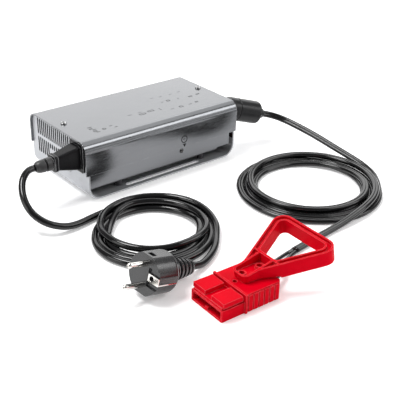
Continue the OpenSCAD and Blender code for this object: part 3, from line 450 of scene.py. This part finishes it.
def makeInsideGroup():
    # mask of what lies within a box about the origin, above a height
    group, given, result = newGroup(
        "insideMask",
        [("LowX", "NodeSocketFloat", 0.0), ("HighX", "NodeSocketFloat", 1.0),
         ("HighY", "NodeSocketFloat", 1.0), ("LowZ", "NodeSocketFloat", 0.0)],
        [("Mask", "NodeSocketFloat")])
    link = group.links.new
    place = newNode(group, "ShaderNodeNewGeometry")
    split = newNode(group, "ShaderNodeSeparateXYZ")
    link(place.outputs["Position"], split.inputs["Vector"])
    total = None
    for axis, test, limit in (("X", "GREATER_THAN", "LowX"), ("X", "LESS_THAN", "HighX"),
                              ("Y", "LESS_THAN", "HighY"), ("Z", "GREATER_THAN", "LowZ")):
        size = newNode(group, "ShaderNodeMath", operation="ABSOLUTE")
        link(split.outputs[axis], size.inputs[0])
        check = newNode(group, "ShaderNodeMath", operation=test)
        link(size.outputs["Value"], check.inputs[0])
        link(given.outputs[limit], check.inputs[1])
        passed = check.outputs["Value"]
        total = multiply(group, total, passed) if total else passed
    link(total, result.inputs["Mask"])
    return group


edgeFinder = makeEdgeGroup()
surfaceGrain = makeGrainGroup()
insideMask = makeInsideGroup()


def boxMask(tree, limits):
    # limits in millimetres, in the order of the group's inputs
    node = newNode(tree, "ShaderNodeGroup", node_tree=insideMask)
    for socket, limit in zip(node.inputs, limits):
        socket.default_value = limit * mm
    return node.outputs["Mask"]


def leanNormal(tree, normal, lean):
    # upright faces of a sheet that spring out of true towards one end
    link = tree.links.new
    here = newNode(tree, "ShaderNodeNewGeometry")
    place = newNode(tree, "ShaderNodeSeparateXYZ")
    link(here.outputs["Position"], place.inputs["Vector"])
    facing = newNode(tree, "ShaderNodeSeparateXYZ")
    link(here.outputs["Normal"], facing.inputs["Vector"])
    size = newNode(tree, "ShaderNodeMath", operation="ABSOLUTE")
    link(facing.outputs["Y"], size.inputs[0])
    upright = newNode(tree, "ShaderNodeMath", operation="GREATER_THAN")
    upright.inputs[1].default_value = 0.96
    link(size.outputs["Value"], upright.inputs[0])
    grow = mapRange(tree, place.outputs["X"],
                    dict(zip(("From Min", "From Max", "To Max"), lean)),
                    interpolation_type="SMOOTHSTEP")
    part = multiply(tree, grow, upright.outputs["Value"])
    drop = newNode(tree, "ShaderNodeCombineXYZ")
    link(part, drop.inputs["Z"])
    total = newNode(tree, "ShaderNodeVectorMath", operation="ADD")
    link(normal, total.inputs[0])
    link(drop.outputs["Vector"], total.inputs[1])
    unit = newNode(tree, "ShaderNodeVectorMath", operation="NORMALIZE")
    link(total.outputs["Vector"], unit.inputs[0])
    return unit.outputs["Vector"]


# painted shade: near-black colour on a sheet's inner faces behind its openings, standing in for the
# shade there
paintedShadeColour = (0.004, 0.004, 0.0045)


def makePaint(name, s):
    paint = bpy.data.materials.new(name)
    paint.use_nodes = True
    tree = paint.node_tree
    link = tree.links.new
    shader = tree.nodes["Principled BSDF"]
    grain = newNode(tree, "ShaderNodeGroup", node_tree=surfaceGrain)
    grain.inputs["Coarse"].default_value = s.get("coarse", 40)
    grain.inputs["Fine"].default_value = s.get("fine", 1500)
    grain.inputs["Stretch"].default_value = s.get("stretch", (1, 1, 1))
    edge = newNode(tree, "ShaderNodeGroup", node_tree=edgeFinder)
    edge.inputs["Radius"].default_value = s.get("edgeRadius", 0.4) * mm
    edge.inputs["WearAndHighlight"].default_value = s.get("edgeWearAndHighlight", 0.5)
    body = mixColours(tree, grain.outputs["Blotch"], s["colour"], s["second"])
    # edge wear and painted highlight: edges turn to the lighter edge colour
    colour = mixColours(tree, edge.outputs["Edge"], body, s.get("edgeColour", s["second"]))
    if "inside" in s:
        # painted shade: inner faces behind the sheet's openings are coloured near-black for the
        # shade there
        colour = mixColours(tree, boxMask(tree, s["inside"]), colour, paintedShadeColour)
    if "ventShade" in s:
        # soft shade along the vents' edges on the outer face
        near = multiply(tree, boxMask(tree, s["ventShade"]), edge.outputs["Edge"])
        full = mapRange(tree, near, {"From Max": 0.06})
        colour = mixColours(tree, full, colour, paintedShadeColour)
    link(colour, shader.inputs["Base Color"])
    low, high = s["rough"]
    rough = mapRange(tree, grain.outputs["Grain"],
                     {"From Min": 0.3, "From Max": 0.7, "To Min": low, "To Max": high})
    link(rough, shader.inputs["Roughness"])
    bump = newNode(tree, "ShaderNodeBump")
    bump.inputs["Strength"].default_value = s.get("bump", 0.15)
    bump.inputs["Distance"].default_value = s.get("relief", 0.05) * mm
    link(grain.outputs["Grain"], bump.inputs["Height"])
    link(edge.outputs["Normal"], bump.inputs["Normal"])
    normal = bump.outputs["Normal"]
    if "lean" in s:
        normal = leanNormal(tree, normal, s["lean"])
    link(normal, shader.inputs["Normal"])
    shader.inputs["Metallic"].default_value = s.get("metal", 0.0)
    shader.inputs["Specular IOR Level"].default_value = s.get("specular", 0.5)
    shader.inputs["Coat Weight"].default_value = s.get("coat", 0.0)
    shader.inputs["Coat Roughness"].default_value = s.get("coatRough", 0.12)
    return paint


# finishes, each with its colours in linear light
finishes = {
    "coverSheet": {
        "colour": (0.176, 0.180, 0.188), "second": (0.162, 0.166, 0.174), "metal": 1.0,
        "rough": (0.16, 0.23), "coarse": 9, "fine": 700, "stretch": (0.15, 1, 1),
        "edgeColour": (0.7, 0.71, 0.73), "edgeWearAndHighlight": 0.7, "edgeRadius": 0.4,
        "bump": 0.035, "relief": 0.02, "lean": (-0.06, 0.02, -0.1)},
    "baseSheet": {
        "colour": (0.50, 0.51, 0.53), "second": (0.44, 0.45, 0.47), "metal": 0.55,
        "rough": (0.4, 0.55), "coarse": 22, "fine": 1200, "stretch": (1, 0.2, 1),
        "edgeColour": (0.85, 0.86, 0.88), "edgeWearAndHighlight": 0.8, "bump": 0.12, "relief": 0.02,
        # painted shade on the end plates' inner faces and vent walls, and along the vents' outer
        # edges
        "edgeRadius": 0.7, "inside": (60, 94.97, 54, 20), "ventShade": (94.9, 96, 46, 21)},
    "gloss": {
        "colour": (0.005, 0.005, 0.006), "second": (0.009, 0.009, 0.010),
        "rough": (0.2, 0.3), "coarse": 60, "fine": 2600, "edgeColour": (0.5, 0.5, 0.51),
        "edgeWearAndHighlight": 1.0, "edgeRadius": 1.4, "specular": 0.12, "bump": 0.05, "relief": 0.03},
    "moulded": {
        "colour": (0.007, 0.007, 0.008), "second": (0.012, 0.012, 0.013),
        "rough": (0.26, 0.36), "coarse": 70, "fine": 2400, "edgeColour": (0.2, 0.2, 0.205),
        "edgeRadius": 0.5, "edgeWearAndHighlight": 0.6, "specular": 0.25, "bump": 0.1, "relief": 0.04},
    "softRubber": {
        "colour": (0.028, 0.028, 0.029), "second": (0.045, 0.045, 0.046),
        "rough": (0.3, 0.42), "coarse": 70, "fine": 2200, "edgeColour": (0.2, 0.2, 0.2),
        "edgeRadius": 0.5, "specular": 0.4, "bump": 0.08, "relief": 0.04},
    "plugRubber": {
        "colour": (0.010, 0.010, 0.011), "second": (0.018, 0.018, 0.019),
        "rough": (0.2, 0.3), "coarse": 60, "fine": 2200, "edgeColour": (0.12, 0.12, 0.122),
        "edgeRadius": 0.5, "specular": 0.7, "bump": 0.08, "relief": 0.04},
    "cable": {
        "colour": (0.001, 0.001, 0.0012), "second": (0.003, 0.003, 0.0035),
        "rough": (0.11, 0.17), "coarse": 90, "fine": 1800, "bump": 0.05, "relief": 0.05,
        "edgeWearAndHighlight": 0.0, "specular": 0.42},
    "redPlastic": {
        "colour": (0.66, 0.001, 0.012), "second": (0.58, 0.001, 0.010),
        "rough": (0.2, 0.3), "coarse": 50, "fine": 2200, "edgeColour": (0.95, 0.20, 0.22),
        "edgeRadius": 0.7, "edgeWearAndHighlight": 1.0, "specular": 0.012, "bump": 0.08, "relief": 0.04},
    "nickel": {
        "colour": (0.78, 0.76, 0.73), "second": (0.68, 0.66, 0.63), "metal": 1.0,
        "rough": (0.1, 0.2), "coarse": 120, "fine": 2600, "edgeColour": (0.95, 0.94, 0.92),
        "edgeRadius": 0.25, "bump": 0.1, "relief": 0.01},
    "screwMetal": {
        "colour": (0.46, 0.46, 0.465), "second": (0.34, 0.34, 0.345), "metal": 1.0,
        "rough": (0.2, 0.34), "coarse": 160, "fine": 3000, "edgeColour": (0.92, 0.92, 0.93),
        "edgeRadius": 0.2, "bump": 0.2, "relief": 0.02},
    "lens": {
        "colour": (0.003, 0.002, 0.002), "second": (0.005, 0.002, 0.002),
        "rough": (0.06, 0.12), "coarse": 200, "fine": 2000, "bump": 0.03, "relief": 0.02,
        "coat": 0.6, "coatRough": 0.05},
    "board": {
        "colour": (0.02, 0.10, 0.04), "second": (0.03, 0.13, 0.05),
        "rough": (0.35, 0.5), "coarse": 120, "fine": 1400, "bump": 0.3, "relief": 0.04},
    "ferrite": {
        "colour": (0.035, 0.035, 0.04), "second": (0.05, 0.05, 0.055),
        "rough": (0.55, 0.75), "coarse": 90, "fine": 1600, "bump": 0.4, "relief": 0.06},
    "copper": {
        "colour": (0.55, 0.24, 0.09), "second": (0.42, 0.17, 0.06), "metal": 0.8,
        "rough": (0.3, 0.5), "coarse": 90, "fine": 1500, "stretch": (1, 1, 6),
        "bump": 0.5, "relief": 0.12},
    "wireCoat": {
        "colour": (0.28, 0.03, 0.02), "second": (0.2, 0.02, 0.015),
        "rough": (0.4, 0.55), "coarse": 90, "fine": 1500},
    "canSleeve": {
        "colour": (0.02, 0.03, 0.07), "second": (0.03, 0.04, 0.09),
        "rough": (0.3, 0.45), "coarse": 80, "fine": 1500},
    "printDark": {
        "colour": (0.006, 0.006, 0.007), "second": (0.01, 0.01, 0.01), "rough": (0.45, 0.6),
        "edgeWearAndHighlight": 0.0, "specular": 0.2},
    "printGrey": {
        "colour": (0.03, 0.03, 0.033), "second": (0.05, 0.05, 0.055), "rough": (0.45, 0.6),
        "coarse": 400, "edgeWearAndHighlight": 0.0, "specular": 0.3},
}
worn = {
    "coverSheet": ["top_cover"],
    "traySheet": ["chassis_tray"],
    "baseSheet": ["base_bracket"],
    "screwMetal": ["cover_screws", "end_screws", "tray_screws", "board_screws",
                   "handle_screws", "board_standoffs"],
    "gloss": ["inlet_socket", "mains_connector", "outlet_bush"],
    "moulded": ["outlet_sleeve", "sleeveNose"],
    "softRubber": ["inletRelief"],
    "plugRubber": ["plug_body", "plugRelief", "legPadFront", "legPadBack"],
    "cable": ["core_rear", "core_front", "mainsLead", "batteryLead"],
    "redPlastic": ["connector_housing", "pull_handle"],
    "nickel": ["plug_pins", "plug_earth_strip", "inlet_blades", "connector_contacts"],
    "lens": ["status_light"],
    "board": ["circuit_board"],
    # dark matte grey; on the tray spacers it is painted shade, so they sink into the shade under
    # the tray
    "ferrite": ["transformer_core", "power_transistors", "relay", "output_terminals",
                "tray_spacers"],
    "copper": ["transformer_winding", "line_choke"],
    "wireCoat": ["inlet_wires", "output_wires"],
    "canSleeve": ["smoothing_capacitors"],
    "baseSheetDull": ["heat_sink"],
}
# painted shade on the tray's inner faces near its ends
finishes["traySheet"] = dict(finishes["coverSheet"], inside=(88.8, 94, 50, 12))
finishes["baseSheetDull"] = dict(finishes["baseSheet"], colour=(0.32, 0.33, 0.34))


def dress(piece, finish):
    paint = paints[finish]
    slots = piece.data.materials
    if len(slots) == 0:
        slots.append(paint)
    for i in range(len(slots)):
        slots[i] = paint


paints = {name: makePaint(name, s) for name, s in finishes.items()}
for name, wearers in worn.items():
    for wearer in wearers:
        dress(nodes.get(wearer) or bpy.data.objects[wearer], name)
print("finishes made")


# small plain prints
marks = {
    "lift": 0.05,
    "line": 0.85,
    "frontRings": [(24.3, 36.9, 4.2, 1.0, 32), (24.3, 36.9, 1.3, 0.5, 20)],
    "frontArrow": ((22.4, 31.6), (27.1, 31.6), (24.7, 27.8)),
    "boxSide": 1.5,
    "topBars": [
        (-70.5, -20, 5, 1.2), (-71.5, -24, 3, 2), (-69, -27, 4, 1.2), (-70.5, -31, 3, 3),
        (-69, -34.5, 4, 1), (-60.3, -31.5, 3, 2.6),
        (-50.5, -28.5, 3.6, 1), (-47.5, -34, 3.4, 1), (-19, -17, 5, 0.7), (-6, -17, 5, 0.7),
        (-6, -22, 7, 3), (6, -20, 7, 3), (17, -22, 0.8, 5), (28, -29, 4, 0.7),
        (40, -29, 4, 3), (52.5, -29, 4, 0.8), (62, -28, 3, 2), (29, 9, 4, 0.6),
        (39, 7.5, 4, 0.6), (31, -7, 3, 0.7), (39, -7, 3.4, 3), (52, -8, 1.4, 1.4),
        (67, -11, 4, 2), (78, -10, 4, 1.6), (65, 8, 4, 0.6), (52.5, 7, 4, 0.6),
    ],
}


def flatPiece(name, polygons, place):
    verts, faces = [], []
    for polygon in polygons:
        faces.append(tuple(range(len(verts), len(verts) + len(polygon))))
        verts += [place(u, v) for u, v in polygon]
    return meshPiece(name, verts, faces)


def ringParts(x, y, outer, wall, steps):
    parts, inner = [], outer - wall
    for i in range(steps):
        a, b = 2 * math.pi * i / steps, 2 * math.pi * (i + 1) / steps
        parts.append([(x + r * math.cos(angle), y + r * math.sin(angle))
                      for r, angle in ((outer, a), (outer, b), (inner, b), (inner, a))])
    return parts


def barPart(x, y, w, h):
    return [(x - w / 2, y - h / 2), (x + w / 2, y - h / 2),
            (x + w / 2, y + h / 2), (x - w / 2, y + h / 2)]


def makeMarks(s):
    low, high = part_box("top_cover")
    front, top = low[1] / mm - s["lift"], high[2] / mm + s["lift"]
    shapes = [part for ring in s["frontRings"] for part in ringParts(*ring)]
    shapes.append(list(s["frontArrow"]))
    dress(flatPiece("frontPrint", shapes, lambda u, v: (u, front, v)), "printDark")
    bars, line = [], s["line"]
    for x, y, w, h in s["topBars"]:
        if min(w, h) > s["boxSide"]:
            bars += [barPart(x, y - h / 2, w, line), barPart(x, y + h / 2, w, line),
                     barPart(x - w / 2, y, line, h), barPart(x + w / 2, y, line, h)]
        else:
            bars.append(barPart(x, y, w, h))
    dress(flatPiece("topPrint", bars, lambda u, v: (u, v, top)), "printGrey")


makeMarks(marks)
print("prints made")


# floor and studio light
lights = {
    "world": 0.28,
    "floor": {"half": 6, "drop": 0.0002, "colour": (0.93, 0.93, 0.935, 1), "glow": 0.22},
    "boxes": {
        "backBox": {
            "place": (1.15, 1.6, 0.95), "target": (0, 0, 0), "size": (3.0, 1.5), "power": 26.5},
        "highBox": {
            "place": (-0.5, 0.3, 1.5), "target": (0, -0.1, 0), "size": (0.6, 0.6), "power": 20},
        "topBox": {
            "place": (1.1, 0.45, 1.45), "target": (1.1, 0.45, 0), "size": (1.1, 1.9),
            "power": 9, "along": (1, 0, 0)},
        "stripBox": {
            "place": (0.81, -0.9, 0.99), "target": (0, -0.05, 0.06), "size": (1.2, 0.5),
            "power": 8.5, "along": (0.77, 0.085, -0.62)},
        "lowBox": {
            "place": (1.25, -1.65, 0.5), "target": (0, 0, 0.05), "size": (1.6, 0.6),
            "power": 2.6},
        "leftBox": {
            "place": (-1.7, 0.3, 0.7), "target": (0, 0, 0), "size": (0.9, 1.0), "power": 8},
    },
}


def makeFloor(s):
    far = s["half"]
    mesh = bpy.data.meshes.new("floor")
    mesh.from_pydata([(-far, -far, 0), (far, -far, 0), (far, far, 0), (-far, far, 0)],
                     [], [(0, 1, 2, 3)])
    floor = bpy.data.objects.new("floor", mesh)
    scene.collection.objects.link(floor)
    floor.location.z = -s["drop"]
    paint = bpy.data.materials.new("paleFloor")
    paint.use_nodes = True
    shader = paint.node_tree.nodes["Principled BSDF"]
    shader.inputs["Base Color"].default_value = s["colour"]
    shader.inputs["Roughness"].default_value = 0.9
    shader.inputs["Specular IOR Level"].default_value = 0.1
    shader.inputs["Emission Color"].default_value = (1, 1, 1, 1)
    shader.inputs["Emission Strength"].default_value = s["glow"]
    mesh.materials.append(paint)


def softBox(name, place, target, size, power, along=None):
    data = bpy.data.lights.new(name, "AREA")
    data.shape = "RECTANGLE"
    data.size, data.size_y = size
    data.energy = power
    lamp = bpy.data.objects.new(name, data)
    scene.collection.objects.link(lamp)
    aim = (Vector(target) - Vector(place)).normalized()
    side = Vector(along or aim.cross(Vector((0, 0, 1))))
    side = (side - aim * side.dot(aim)).normalized()
    turn = Matrix((side, side.cross(aim), -aim)).transposed()
    lamp.matrix_world = Matrix.Translation(place) @ turn.to_4x4()


def makeLight(s):
    world = bpy.data.worlds.new("studio")
    world.use_nodes = True
    back = world.node_tree.nodes["Background"]
    back.inputs["Color"].default_value = (1, 1, 1, 1)
    back.inputs["Strength"].default_value = s["world"]
    scene.world = world
    for name, box in s["boxes"].items():
        softBox(name, **box)
    scene.view_settings.view_transform = "Standard"


makeFloor(lights["floor"])
makeLight(lights)
print("stage made")
